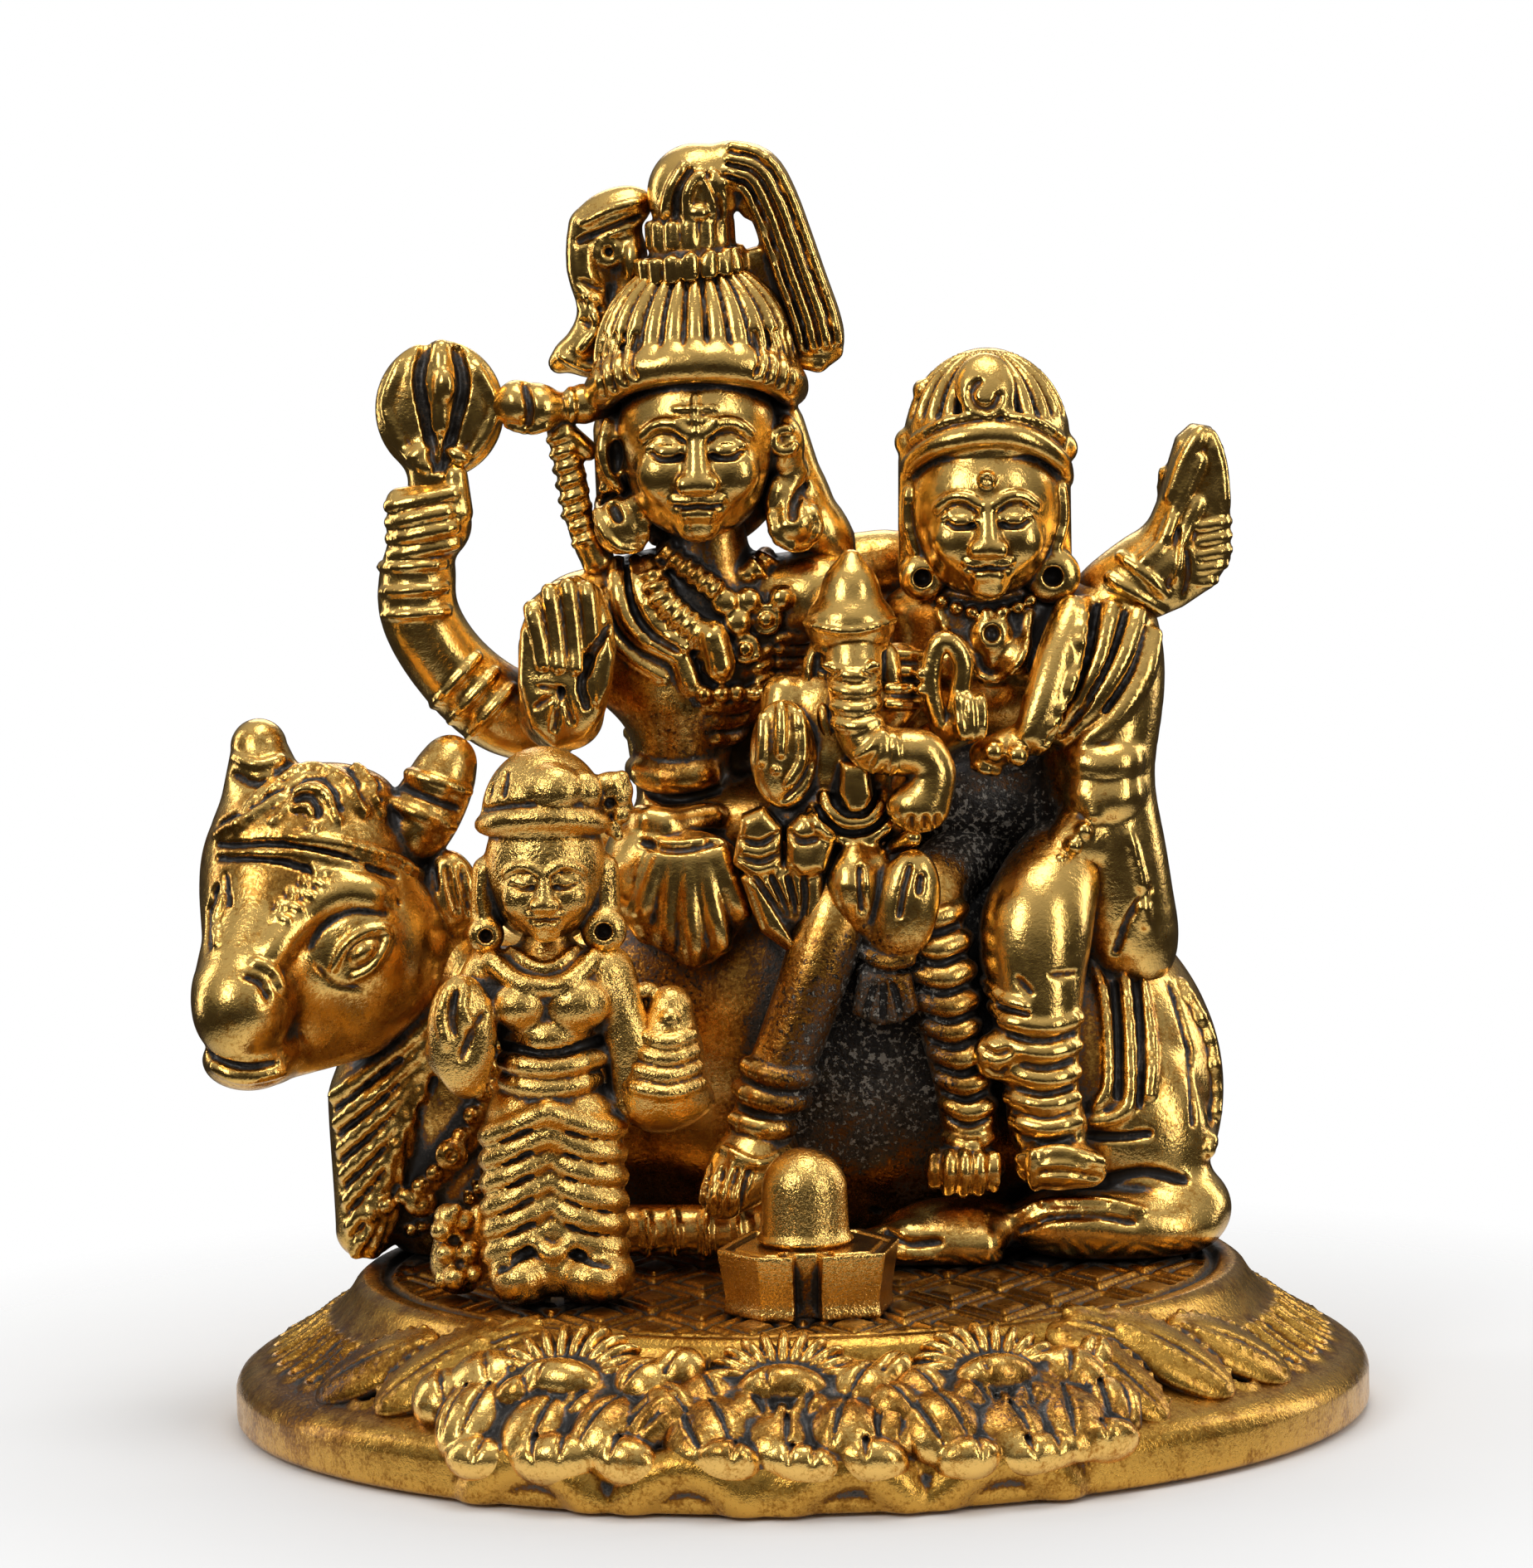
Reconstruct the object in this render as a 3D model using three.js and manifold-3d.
// Shiva family group: a cast brass table figure on an oval lotus base.
// Millimetres, +Z up, the front faces -Y and +X is to the viewer's right.
// Everything is laid out round the middle of the base's underside; the group is then moved
// so that its origin is the bottom centre of the bounding box.

import * as THREE from "three";
import { mergeVertices } from "three/addons/utils/BufferGeometryUtils.js";
import Module from "manifold-3d";

const wasm = await Module();
wasm.setup();

// ---- driving dimensions ------------------------------------------------------------------

const BASE_RADIUS = 50; // half the base's width
const BASE_OVAL = 0.9; // depth over width
const RIM_HEIGHT = 4;
const FLOOR_Z = 12.8; // top of the base, where the figures stand
const FLOOR_RADIUS = 38.6;
const BASE_WALL = 2.4; // the base is a hollow shell
const SEAM = 0.3; // clearance left along every joint between two pieces
const STAND_Z = FLOOR_Z + SEAM; // underside of everything that stands on the base
const SCREW = { shank: 1.3, hole: 1.6, head: 2.75, headHeight: 1.8, length: 6.4 };
const SCREW_PLACES = {
  screw_bull_front: [-22, 12],
  screw_bull_rear: [24, 12],
  screw_son: [-21, -15],
  screw_pedestal: [0.4, -20.5],
};

const BASE_SIDES = 40;
const BALL_SIDES = 8;
const BALL_RINGS = 5;
const LIMB_SIDES = 6;
const LIMB_CAP_STEPS = 2; // steps in each rounded end of a limb

// ---- solids ------------------------------------------------------------------------------

// Any closed three.js geometry as a solid that can be joined and cut.
function solidFrom(geometry) {
  const loose = geometry.index ? geometry.toNonIndexed() : geometry.clone();
  loose.deleteAttribute("normal");
  loose.deleteAttribute("uv");
  const merged = mergeVertices(loose, 1e-4);
  const corners = merged.index.array;
  const triangles = [];
  for (let i = 0; i < corners.length; i += 3) {
    const [a, b, c] = corners.slice(i, i + 3);
    if (a !== b && b !== c && c !== a) triangles.push([a, b, c]);
  }
  const build = (faces) =>
    new wasm.Manifold(
      new wasm.Mesh({
        numProp: 3,
        vertProperties: merged.attributes.position.array,
        triVerts: new Uint32Array(faces.flat()),
      }),
    );
  const made = build(triangles);
  return made.volume() > 0 ? made : build(triangles.map(([a, b, c]) => [a, c, b]));
}

const join = (solids) => solids.reduce((whole, piece) => whole.add(piece));

// An ellipsoid with half-axes [x, y, z], turned by tilt degrees about X, Y and Z.
function ball(at, half, tilt = [0, 0, 0]) {
  return (grow) => {
    const shape = new THREE.SphereGeometry(1, BALL_SIDES, BALL_RINGS);
    shape.rotateX(Math.PI / 2);
    shape.scale(half[0] + grow, half[1] + grow, half[2] + grow);
    const [x, y, z] = tilt.map(THREE.MathUtils.degToRad);
    shape.applyMatrix4(new THREE.Matrix4().makeRotationFromEuler(new THREE.Euler(x, y, z)));
    shape.translate(...at);
    return solidFrom(shape);
  };
}

// One tapered rod with round ends, from a to b, each [x, y, z, radius].
function rod(a, b, grow) {
  const start = new THREE.Vector3(...a.slice(0, 3));
  const end = new THREE.Vector3(...b.slice(0, 3));
  const [ra, rb] = [a[3] + grow, b[3] + grow];
  const length = start.distanceTo(end);
  const lean = Math.asin(THREE.MathUtils.clamp((ra - rb) / length, -0.95, 0.95));
  const profile = [];
  for (let i = 0; i <= LIMB_CAP_STEPS; i++) {
    const angle = THREE.MathUtils.lerp(-Math.PI / 2, lean, i / LIMB_CAP_STEPS);
    profile.push(new THREE.Vector2(ra * Math.cos(angle), ra * Math.sin(angle)));
  }
  for (let i = 0; i <= LIMB_CAP_STEPS; i++) {
    const angle = THREE.MathUtils.lerp(lean, Math.PI / 2, i / LIMB_CAP_STEPS);
    profile.push(new THREE.Vector2(rb * Math.cos(angle), length + rb * Math.sin(angle)));
  }
  profile[0].x = 0;
  profile[profile.length - 1].x = 0;
  const shape = new THREE.LatheGeometry(profile, LIMB_SIDES);
  const direction = end.clone().sub(start).normalize();
  const turn = new THREE.Quaternion().setFromUnitVectors(new THREE.Vector3(0, 1, 0), direction);
  shape.applyQuaternion(turn);
  shape.translate(start.x, start.y, start.z);
  return solidFrom(shape);
}

// A chain of rods through the points [x, y, z, radius].
function limb(...points) {
  return (grow) => join(points.slice(1).map((point, i) => rod(points[i], point, grow)));
}

// A vertical turned shape from [radius, z] points that start and end on the axis.
function turned(profile, at, sides, oval = 1) {
  return (grow) => {
    const points = profile.map(([r, z], i) => {
      const onAxis = r === 0;
      const lift = i === 0 ? -grow : i === profile.length - 1 ? grow : 0;
      return new THREE.Vector2(onAxis ? 0 : r + grow, z + lift);
    });
    const shape = new THREE.LatheGeometry(points, sides);
    shape.rotateX(Math.PI / 2);
    shape.scale(1, oval, 1);
    shape.translate(...at);
    return solidFrom(shape);
  };
}

// A vertical prism from an outline of [x, y] points.
function prism(outline, bottom, top) {
  return () => {
    const shape = new THREE.Shape(outline.map(([x, y]) => new THREE.Vector2(x, y)));
    const solid = new THREE.ExtrudeGeometry(shape, { depth: top - bottom, bevelEnabled: false });
    solid.translate(0, 0, bottom);
    return solidFrom(solid);
  };
}

// Everything in a recipe, joined. grow swells each shape, to cut a neighbour with clearance.
const made = (recipe, grow = 0) => join(recipe.map((shape) => shape(grow)));

// A block that removes everything below a height.
function below(z) {
  const reach = 140;
  return solidFrom(new THREE.BoxGeometry(reach, reach, reach).translate(0, 0, z - reach / 2));
}

// ---- the base ----------------------------------------------------------------------------

function pedestalBase() {
  const inner = FLOOR_Z - BASE_WALL;
  const profile = [
    [0, inner],
    [FLOOR_RADIUS - 3, inner],
    [BASE_RADIUS - 5.5, RIM_HEIGHT - 1],
    [BASE_RADIUS - 3.5, 0],
    [BASE_RADIUS - 0.3, 0],
    [BASE_RADIUS, 0.5],
    [BASE_RADIUS, RIM_HEIGHT - 0.6],
    [BASE_RADIUS - 0.7, RIM_HEIGHT],
    [BASE_RADIUS - 1.8, RIM_HEIGHT + 0.2],
    [BASE_RADIUS - 5, RIM_HEIGHT + 2.6],
    [BASE_RADIUS - 8.6, RIM_HEIGHT + 6.8],
    [BASE_RADIUS - 9.7, FLOOR_Z - 0.5],
    [FLOOR_RADIUS, FLOOR_Z],
    [0, FLOOR_Z],
  ];
  return [turned(profile, [0, 0, 0], BASE_SIDES, BASE_OVAL)];
}

const onSlope = { y: -38.5, z: 7.4 }; // middle of the front slope

// A lotus bloom: a domed heart with a ring of petals, tipped to lie on the front slope.
function lotusBloom(x, size, lift) {
  const [y, z] = [onSlope.y + Math.abs(x) * 0.06, onSlope.z + lift];
  const petals = 7;
  const ring = [];
  for (let i = 0; i < petals; i++) {
    const angle = (i / petals) * Math.PI * 2;
    const reach = size * 0.62;
    ring.push(
      ball(
        [
          x + reach * Math.cos(angle),
          y + reach * 0.55 * Math.sin(angle),
          z + reach * 0.45 * Math.sin(angle),
        ],
        [size * 0.36, size * 0.3, size * 0.3],
      ),
    );
  }
  return [ball([x, y - 0.4, z], [size * 0.55, size * 0.5, size * 0.45]), ...ring];
}

// A pointed leaf beside the blooms, lying down the slope.
function lotusLeaf(side) {
  return [
    limb([side * 22, -35.5, 8.6, 2], [side * 28.5, -32.6, 7.4, 2.6], [side * 34, -29.3, 5.4, 1.4]),
    ball([side * 27.5, -34.6, 5.6], [5.6, 2.6, 2]),
  ];
}

// ---- the pedestal and its stone ----------------------------------------------------------

const SHRINE = [0.4, -20.5];

function yoniPedestal() {
  const [x, y] = SHRINE;
  const outline = [
    [x - 7.4, y - 2.2],
    [x - 3.8, y - 6.2],
    [x - 1.1, y - 6.5],
    [x - 0.9, y - 4.6],
    [x + 0.9, y - 4.6],
    [x + 1.3, y - 6.4],
    [x + 6.6, y - 5],
    [x + 7.7, y + 1.4],
    [x + 4.6, y + 6.2],
    [x - 4.4, y + 6.3],
  ];
  return [prism(outline, STAND_Z, 18.4)];
}

function lingamStone() {
  const [x, y] = SHRINE;
  const radius = 3.65;
  const profile = [[0, 18.4 + SEAM], [radius, 18.4 + SEAM], [radius, 23]];
  const steps = 5;
  for (let i = 1; i <= steps; i++) {
    const angle = (i / steps) * (Math.PI / 2);
    profile.push([i === steps ? 0 : radius * Math.cos(angle), 23 + radius * Math.sin(angle)]);
  }
  return [turned(profile, [x, y, 0], 20)];
}

// ---- the standing son --------------------------------------------------------------------

function sonBody() {
  return [
    ball([-21.2, -14.8, 39.2], [5.6, 3.6, 4.6]),
    ball([-21.2, -15, 33.6], [4.3, 3.2, 4.6]),
    ball([-21.2, -14.8, 28.6], [5.2, 3.7, 3.8]),
    limb([-23.7, -14.8, 28, 3.1], [-23.9, -15, 16, 2.5]),
    limb([-18.7, -14.8, 28, 3.1], [-18.5, -15, 16, 2.5]),
    ball([-24, -15.8, 15], [3.3, 4.2, 2.4]),
    ball([-18.2, -15.8, 15], [3.3, 4.2, 2.4]),
    ball([-21.1, -15, 15.2], [4, 3.4, 3.2]),
    limb([-26, -14.3, 41, 2], [-29, -14.5, 34.4, 2], [-28.2, -18.2, 32, 1.9]),
    ball([-28.4, -18.8, 36.6], [2.6, 1.6, 3.9]),
    limb([-16.4, -14.2, 41, 2], [-14.4, -14.2, 34, 1.7]),
    limb([-21.2, -14, 43, 2.1], [-21.2, -13.8, 45, 1.9]),
  ];
}

function sonHead() {
  return [
    ball([-21.1, -14, 49.8], [5.1, 4.5, 5.8]),
    ball([-21.1, -13.4, 55], [5.5, 4.9, 5]),
    ball([-15.4, -12.8, 55.2], [1.7, 1.5, 2.2]),
    ball([-26.2, -13.4, 45.6], [1.5, 1.3, 1.9]),
    ball([-16.2, -13.6, 45.2], [1.6, 1.3, 1.9]),
  ];
}

const sonMace = () => [
  limb([-11.3, -13.8, 38.6, 1.7], [-11.5, -13.9, 31.6, 3.6]),
  ball([-11.4, -12.8, 28.8], [4.2, 2.6, 1.9]),
];

const peacock = () => [
  ball([-29.6, -11.8, 16.2], [2.6, 2.5, 2.9]),
  limb([-29.8, -12.2, 17.8, 1.3], [-30, -13, 20.6, 1.1]),
];

// ---- the bull ----------------------------------------------------------------------------

function bullBody() {
  return [
    ball([3, 13, 31.5], [31, 12.6, 19.5]),
    ball([25, 12.5, 25.5], [13.2, 13.2, 15.4]),
    ball([-27, 10.5, 26], [14.6, 9.6, 16.5]),
    limb([-30, 9, 30, 8.4], [-33.5, 6.5, 38, 7.2]),
    limb([-38.6, 4.2, 16, 2.9], [-38, 4.4, 26, 3.3]),
    ball([28, 2.4, 22], [7.5, 4, 8.4]),
    limb([20.5, -2.2, 15.8, 2.5], [34, 0, 16.6, 3]),
    limb([6.6, -1.6, 15.8, 2.2], [17, -0.6, 17.6, 2.7]),
    limb([-15.5, -0.6, 16.1, 2.2], [-3, -0.4, 16, 2.1]),
  ];
}

function bullHead() {
  return [
    ball([-38.2, -0.6, 47.2], [8.6, 7.4, 8.6], [0, 20, 0]),
    ball([-36, 0.4, 41.6], [6.4, 6.2, 6.6]),
    limb([-41, -3.4, 44, 6.2], [-47, -7.4, 37.2, 4.6]),
    ball([-46.6, -7, 33.4], [4.6, 4, 3.6]),
    ball([-40.2, 0.6, 54.6], [4.9, 4.2, 3.6]),
    limb([-44.4, 0.8, 54.4, 3.2], [-46.2, 2.6, 60.4, 1.5]),
    limb([-34, 1.4, 53.4, 2.9], [-30.8, 2.8, 56, 2.7], [-29, 3.6, 59.6, 1.7]),
    ball([-30.4, 3.2, 47.4], [2.4, 1.6, 3.6]),
  ];
}

// ---- the father --------------------------------------------------------------------------

function fatherBody() {
  return [
    ball([-8.2, 10.2, 66.4], [12.4, 6.6, 9]),
    ball([-19, 8.6, 67.5], [4.6, 4.6, 5]),
    ball([2.6, 9.6, 70.2], [4.8, 4.8, 4.6]),
    limb([-9.2, 9, 60, 5.6], [-9, 9.6, 53, 4.7]),
    ball([-5, 11, 50.6], [9.6, 8, 4.6]),
    limb([-6, 8, 49.5, 4.4], [-14, 2.4, 47.6, 4.2], [-8.6, -0.6, 44.6, 3.4]),
    ball([-8.6, -1.2, 43.6], [4.8, 2.2, 4.2]),
    limb([-7, 9, 74, 3.9], [-7, 8.6, 77.4, 3.6]),
  ];
}

const fatherLeg = () => [
  limb([1.4, 6, 50.4, 4], [3, -1, 46.4, 3.4], [0.3, -2.8, 36.6, 2.9], [-3.4, -3, 27, 2.6]),
  limb([-3.2, -3.4, 24.4, 2.8], [-5, -5.4, 21.4, 2.6], [-6.4, -7.2, 20.6, 1.9]),
  limb([-4.6, -3, 29.4, 3.1], [-1.2, -3, 30.4, 3.1]),
];

function fatherHead() {
  return [
    ball([-7.5, 6.4, 84.6], [7, 6.6, 7.8]),
    ball([-7.5, 7.2, 93], [9, 8, 7]),
    ball([-16.4, 7.6, 84.4], [1.6, 2.2, 3.4]),
    ball([1.2, 7.6, 84.4], [1.6, 2.2, 3.4]),
    ball([-15.7, 6.8, 78.6], [2, 1.8, 2.8]),
    ball([1.3, 6.8, 78.4], [2, 1.8, 2.8]),
    ball([-7.4, 10.8, 84], [7.6, 4.6, 9]),
  ];
}

const fatherTopknot = () => [
  ball([-7, 7.6, 100.4], [5.5, 5.2, 2]),
  ball([-6.8, 7.6, 103.2], [4.6, 4.4, 1.9]),
  ball([-5.9, 7.6, 106.6], [4.6, 4.2, 4.9]),
  limb([-4, 7.6, 108.8, 2.6], [-0.6, 7.8, 106, 2.2], [1.8, 8, 99.6, 2.2], [3.2, 8, 93.6, 2]),
];

const frontArm = () => [
  limb([-20.4, 5.4, 66, 3.4], [-21, 4.2, 61.6, 3]),
  ball([-19.4, 0.9, 66.4], [4.5, 1.9, 7.5]),
  ball([-19.8, 2.4, 61.4], [3.6, 2.6, 3.2]),
];

const rearArm = () => [
  limb([-22.8, 10, 60.6, 3.2], [-28.2, 8.4, 64, 3], [-32.4, 7.4, 70.4, 2.9], [-32, 7, 76, 2.9]),
  ball([-31.6, 6.6, 77.8], [3.7, 3, 3.6]),
];

const tridentHead = () => [
  ball([-30.2, 7, 88.4], [5.7, 1.9, 5.9]),
  limb([-31, 7, 82.6, 1.7], [-30.8, 7, 84, 1.7]),
];

const damaru = () => [
  limb([-24, 6.6, 88.4, 1], [-22, 6.4, 88.3, 2], [-19.8, 6.8, 88.4, 1.4], [-17.2, 7.4, 88.4, 1.3]),
  limb([-19.6, 8, 87, 1], [-18.3, 8.4, 80, 1.1], [-17, 8.6, 75, 1.3]),
];

const cobra = () => [
  ball([-14.9, 9, 104.8], [3.4, 1.9, 2.6], [0, -25, 0]),
  limb([-15, 9, 104, 1.9], [-16, 9, 99.6, 1.6], [-15, 9.2, 95, 1.9]),
  limb([-15, 9.4, 95.4, 1.8], [-18.6, 9.2, 92.4, 1.3]),
];

const leftArm = () => [
  limb([3, 13.4, 71.4, 3.1], [10, 15, 72, 3], [22, 14.8, 70.6, 2.8], [28, 12.4, 68, 2.5]),
];

// ---- the mother --------------------------------------------------------------------------

function motherBody() {
  return [
    ball([18.4, 9.6, 64.6], [9.4, 5.6, 8.4]),
    ball([27.4, 9.6, 63.6], [5, 5.4, 9.4], [0, -8, 0]),
    ball([24, 10.8, 52.6], [7.8, 6.8, 10.4]),
    ball([26.4, 11.6, 43.4], [6.2, 7, 7]),
    ball([15, 8.6, 52.6], [6.4, 6, 5]),
    limb([17.6, 9, 70.4, 3.2], [17.6, 8.6, 73, 3]),
    limb([23.6, 3.4, 66.4, 2.2], [22, 0.6, 60.6, 1.9], [17.6, 0, 58, 1.7]),
  ];
}

const motherRightLeg = () => [
  limb([16.6, 5.4, 49.6, 3.4], [11.6, 0.2, 46.4, 2.7], [12.9, -1.2, 36, 2.6], [14.4, -1.2, 25.4, 2.5]),
  limb([14.6, -2, 23, 2.3], [14.2, -3.6, 21, 2]),
];

const motherLeftLeg = () => [
  limb([24, 4, 49, 4], [20.4, -1, 44.6, 4], [20.4, -2, 36, 3.6], [21.2, -2, 26, 2.9]),
  limb([21.4, -2.4, 23.6, 2.9], [21.8, -4, 21.6, 2.6], [24.6, -4.2, 21.4, 1.8]),
  ball([17.1, -4.6, 33.4], [2.5, 1.9, 2.9]),
];

function motherHead() {
  return [
    ball([17.6, 6.2, 77.2], [6.2, 5.9, 6.6]),
    ball([17.9, 7.4, 84], [7.4, 6.6, 4.4]),
    ball([17.9, 7.6, 88], [5.6, 5.2, 4.9]),
    ball([11.9, 5.4, 72.6], [2, 1.5, 2.1]),
    ball([23.7, 5.4, 72.8], [2, 1.5, 2.1]),
    ball([17.6, 10.2, 77], [6.8, 4.4, 7.4]),
  ];
}

const raisedArm = () => [
  limb([28.4, 9.4, 69.6, 3.1], [33.6, 8.6, 72, 2.7], [35.8, 8.4, 74.6, 2.4]),
  ball([36.2, 8.2, 77.6], [2.9, 1.9, 6.8], [0, 6, 0]),
];

// ---- the elephant-headed son -------------------------------------------------------------

function ganeshaBody() {
  return [
    ball([3.4, 1, 57.2], [6.2, 4.6, 5.4]),
    ball([-1, -3, 59.3], [2.9, 1.5, 4.6]),
    limb([-0.4, -0.6, 62.4, 2], [-0.9, -2.2, 58, 2]),
    limb([-1.2, -1.6, 50.9, 2.4], [4.4, -2.6, 50.6, 2.4]),
    ball([-0.9, -3, 45], [2.9, 1.6, 3.9], [0, -12, 0]),
    ball([5.4, -4.4, 46.8], [1.7, 1.4, 2.9], [0, 14, 0]),
    ball([9.2, -4.2, 46], [2.3, 1.7, 4.4], [0, 16, 0]),
    limb([8.4, -0.6, 61, 1.9], [10.6, -3.4, 55.4, 1.8]),
    ball([10.9, -3.8, 53.2], [2.7, 2, 2]),
    limb([12.6, 2, 58, 1.5], [14, -1.6, 61.2, 1.5], [12.7, -2, 66.2, 1.3]),
    limb([7.6, -2.6, 41, 1.5], [7.7, -2.8, 38, 2.1]),
  ];
}

const ganeshaHead = () => [
  ball([5, 0.6, 66.4], [4.3, 3.9, 4.6]),
  limb([4.9, 0.6, 69.6, 3.3], [4.9, 0.8, 73.6, 1]),
  ball([-0.6, 2, 65.2], [2.6, 1.2, 3.4]),
  ball([10, 2, 63.8], [2.4, 1.2, 3.6]),
  limb([5.1, -2, 65, 2.5], [5.9, -3.6, 60.4, 2.2], [7.4, -4, 57.6, 2], [10.6, -4.2, 57.2, 1.6]),
];

// ---- fasteners ---------------------------------------------------------------------------

function screw([x, y]) {
  const { shank, head, headHeight, length } = SCREW;
  const seat = FLOOR_Z - BASE_WALL - SEAM;
  const slot = new THREE.BoxGeometry(head * 2.4, 0.7, 1.4).translate(x, y, seat - headHeight);
  const profile = [
    [0, seat - headHeight],
    [head * 0.8, seat - headHeight],
    [head, seat - headHeight * 0.6],
    [head, seat],
    [shank, seat],
    [shank, seat + length - 0.5],
    [shank - 0.5, seat + length],
    [0, seat + length],
  ];
  return turned(profile, [x, y, 0], 14)(0).subtract(solidFrom(slot));
}

// The clearance hole that a screw passes through, and the tapped hole it ends in.
function screwHoles() {
  const start = RIM_HEIGHT + 1;
  const end = FLOOR_Z - BASE_WALL + SCREW.length + 0.4;
  const profile = [
    [0, start],
    [SCREW.hole, start],
    [SCREW.hole, end],
    [0, end],
  ];
  return join(Object.values(SCREW_PLACES).map(([x, y]) => turned(profile, [x, y, 0], 12)(0)));
}

// ---- assembly ----------------------------------------------------------------------------

// Each piece with its finish. A piece is cut back, with the seam's clearance, from the ones
// named in its from list, so neighbours meet face to face.
const GOLD = { color: 0xc8921f, roughness: 0.28, metalness: 1 };
const SATIN = { color: 0xb9801f, roughness: 0.45, metalness: 1 };
const BRUSHED = { color: 0xa87428, roughness: 0.4, metalness: 1 };
const STEEL = { color: 0x8c8c8c, roughness: 0.4, metalness: 1 };

const PIECES = [
  { name: "pedestal_base", recipe: pedestalBase(), finish: BRUSHED, from: [] },
  { name: "lotus_bloom_center", recipe: lotusBloom(-1.5, 7, 0.2), finish: BRUSHED, from: ["pedestal_base"] },
  {
    name: "lotus_bloom_left",
    recipe: lotusBloom(-17, 6.4, 0),
    finish: BRUSHED,
    from: ["pedestal_base", "lotus_bloom_center"],
  },
  {
    name: "lotus_bloom_right",
    recipe: lotusBloom(14.5, 6.4, 0),
    finish: BRUSHED,
    from: ["pedestal_base", "lotus_bloom_center"],
  },
  {
    name: "lotus_leaf_left",
    recipe: lotusLeaf(-1),
    finish: BRUSHED,
    from: ["pedestal_base", "lotus_bloom_left"],
  },
  {
    name: "lotus_leaf_right",
    recipe: lotusLeaf(1),
    finish: BRUSHED,
    from: ["pedestal_base", "lotus_bloom_right"],
  },
  { name: "yoni_pedestal", recipe: yoniPedestal(), finish: SATIN, from: [] },
  { name: "lingam", recipe: lingamStone(), finish: SATIN, from: [] },
  { name: "kartikeya_body", recipe: sonBody(), finish: SATIN, from: [], stands: true },
  { name: "kartikeya_head", recipe: sonHead(), finish: SATIN, from: ["kartikeya_body"] },
  { name: "kartikeya_mace", recipe: sonMace(), finish: SATIN, from: ["kartikeya_body"] },
  { name: "kartikeya_peacock", recipe: peacock(), finish: SATIN, from: ["kartikeya_body"], stands: true },
  { name: "nandi_body", recipe: bullBody(), finish: GOLD, from: [], stands: true },
  { name: "nandi_head", recipe: bullHead(), finish: GOLD, from: ["nandi_body"] },
  { name: "shiva_body", recipe: fatherBody(), finish: GOLD, from: ["nandi_body"] },
  { name: "shiva_hanging_leg", recipe: fatherLeg(), finish: GOLD, from: ["nandi_body", "shiva_body"] },
  { name: "shiva_head", recipe: fatherHead(), finish: GOLD, from: ["shiva_body"] },
  { name: "shiva_topknot", recipe: fatherTopknot(), finish: GOLD, from: ["shiva_head"] },
  { name: "shiva_front_arm", recipe: frontArm(), finish: GOLD, from: ["shiva_body"] },
  { name: "shiva_rear_arm", recipe: rearArm(), finish: GOLD, from: ["shiva_body", "shiva_front_arm"] },
  { name: "trident_head", recipe: tridentHead(), finish: GOLD, from: ["shiva_rear_arm"] },
  {
    name: "damaru_drum",
    recipe: damaru(),
    finish: GOLD,
    from: ["trident_head", "shiva_head", "shiva_body"],
  },
  { name: "cobra", recipe: cobra(), finish: GOLD, from: ["shiva_head", "shiva_topknot"] },
  { name: "parvati_body", recipe: motherBody(), finish: GOLD, from: ["nandi_body", "shiva_body"] },
  {
    name: "parvati_right_leg",
    recipe: motherRightLeg(),
    finish: GOLD,
    from: ["nandi_body", "parvati_body"],
  },
  {
    name: "parvati_left_leg",
    recipe: motherLeftLeg(),
    finish: GOLD,
    from: ["nandi_body", "parvati_body", "parvati_right_leg"],
  },
  { name: "parvati_head", recipe: motherHead(), finish: GOLD, from: ["parvati_body"] },
  { name: "parvati_raised_arm", recipe: raisedArm(), finish: GOLD, from: ["parvati_body"] },
  {
    name: "shiva_left_arm",
    recipe: leftArm(),
    finish: GOLD,
    from: ["shiva_body", "shiva_head", "parvati_body", "parvati_head", "parvati_raised_arm"],
  },
  {
    name: "ganesha_body",
    recipe: ganeshaBody(),
    finish: GOLD,
    from: ["nandi_body", "shiva_body", "shiva_hanging_leg", "parvati_body", "parvati_right_leg"],
  },
  {
    name: "ganesha_head",
    recipe: ganeshaHead(),
    finish: GOLD,
    from: ["ganesha_body", "shiva_body", "parvati_body"],
  },
];

const recipes = Object.fromEntries(PIECES.map(({ name, recipe }) => [name, recipe]));

// The largest body of a solid: a cut can leave a crumb that no foundry would keep.
function largest(solid) {
  return solid.decompose().reduce((best, body) => (body.volume() > best.volume() ? body : best));
}

function meshOf(name, solid, finish) {
  const { numProp, numVert, vertProperties, triVerts } = solid.getMesh();
  const corners = new Float32Array(numVert * 3);
  for (let i = 0; i < numVert; i++) {
    corners.set(vertProperties.subarray(i * numProp, i * numProp + 3), i * 3);
  }
  const geometry = new THREE.BufferGeometry();
  geometry.setAttribute("position", new THREE.BufferAttribute(corners, 3));
  geometry.setIndex(new THREE.BufferAttribute(triVerts, 1));
  geometry.computeVertexNormals();
  const mesh = new THREE.Mesh(geometry, new THREE.MeshStandardMaterial(finish));
  mesh.name = name;
  return mesh;
}

const statue = new THREE.Group();
const holes = screwHoles();
for (const { name, recipe, finish, from, stands } of PIECES) {
  let solid = from.reduce((left, other) => left.subtract(made(recipes[other], SEAM)), made(recipe));
  if (stands) solid = solid.subtract(below(STAND_Z));
  statue.add(meshOf(name, largest(solid.subtract(holes)), finish));
}
for (const [name, place] of Object.entries(SCREW_PLACES)) {
  statue.add(meshOf(name, screw(place), STEEL));
}

// The origin is the bottom centre of the whole.
const box = new THREE.Box3().setFromObject(statue);
const middle = box.getCenter(new THREE.Vector3());
statue.position.set(-middle.x, -middle.y, -box.min.z);

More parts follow.
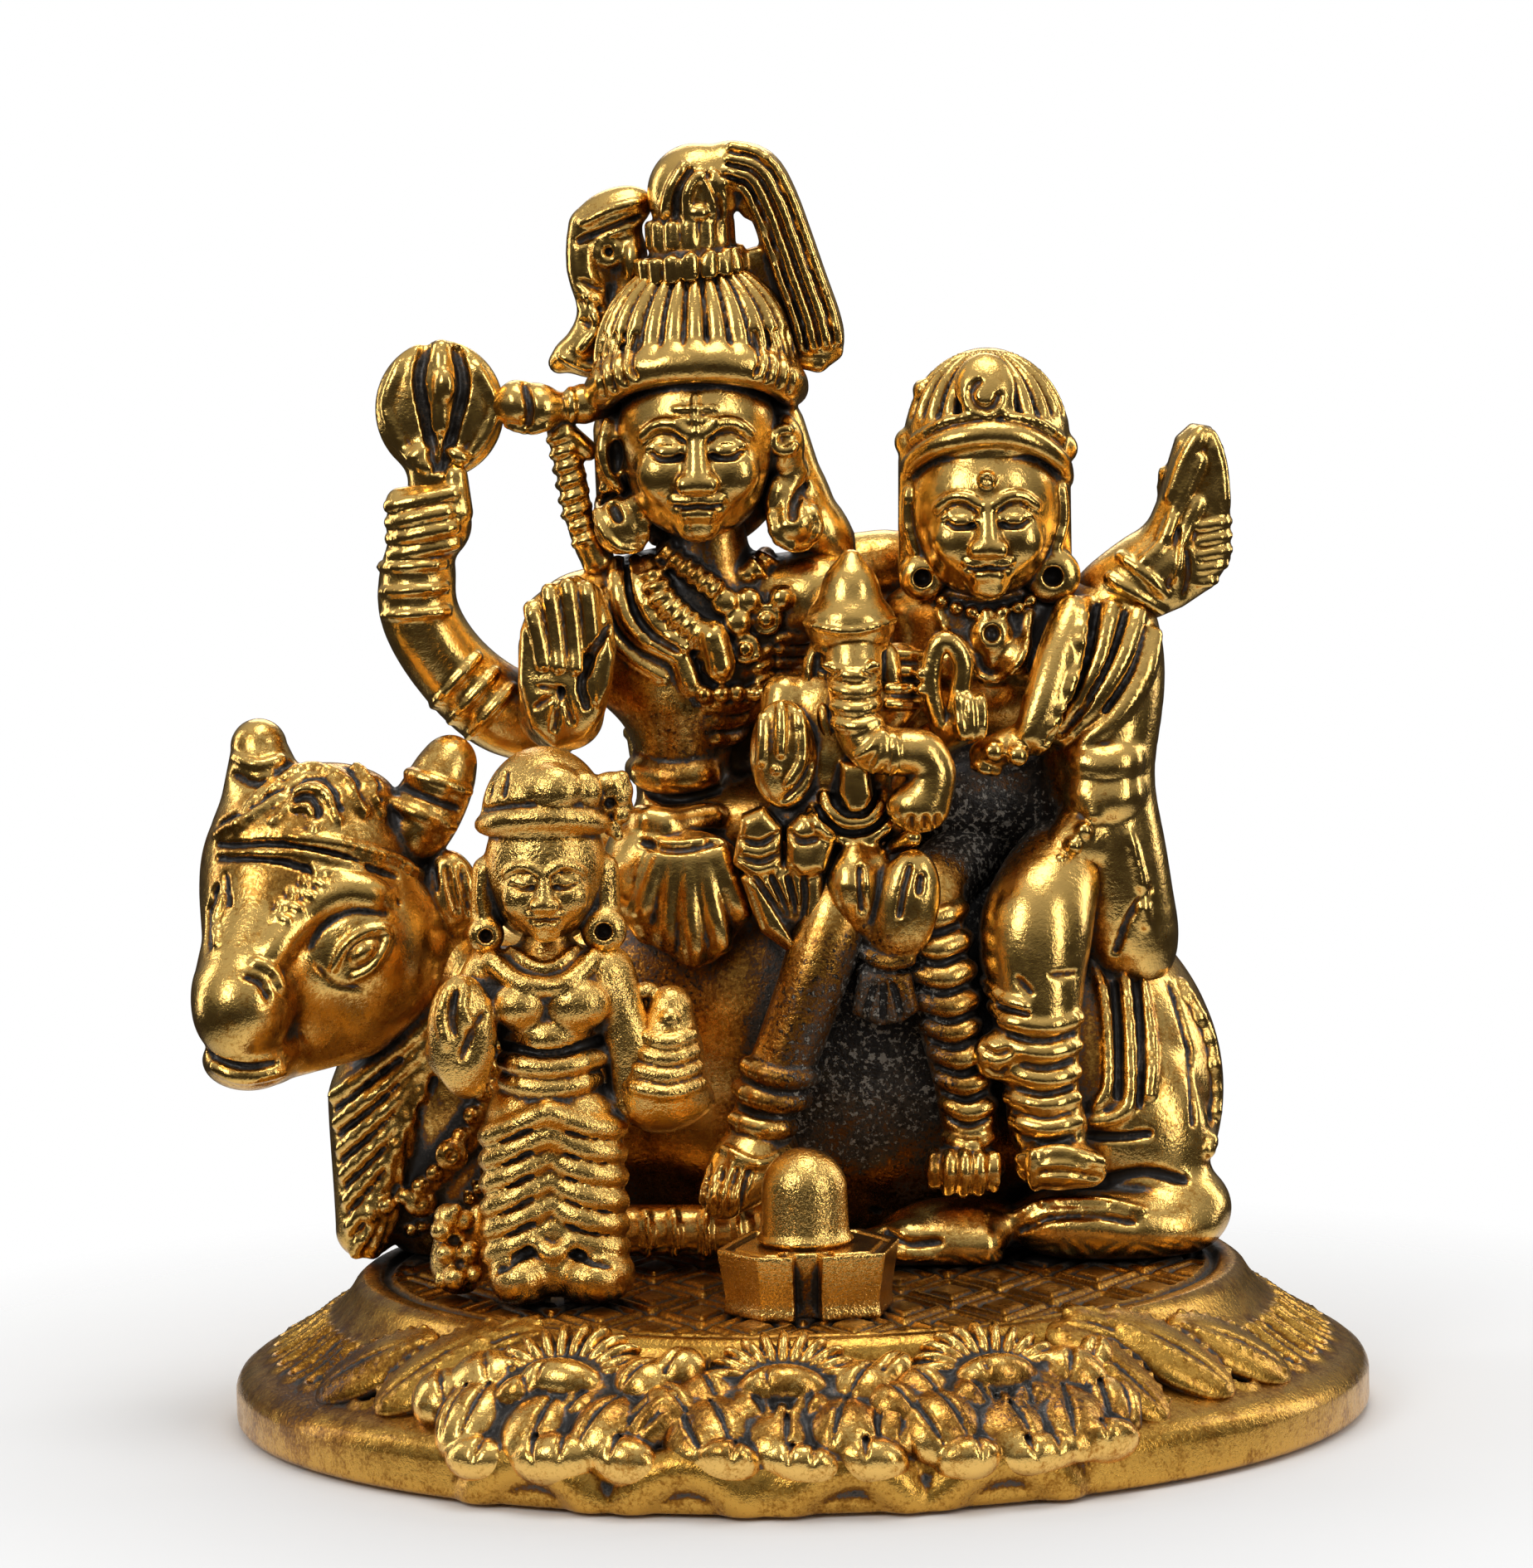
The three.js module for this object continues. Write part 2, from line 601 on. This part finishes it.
export default statue;
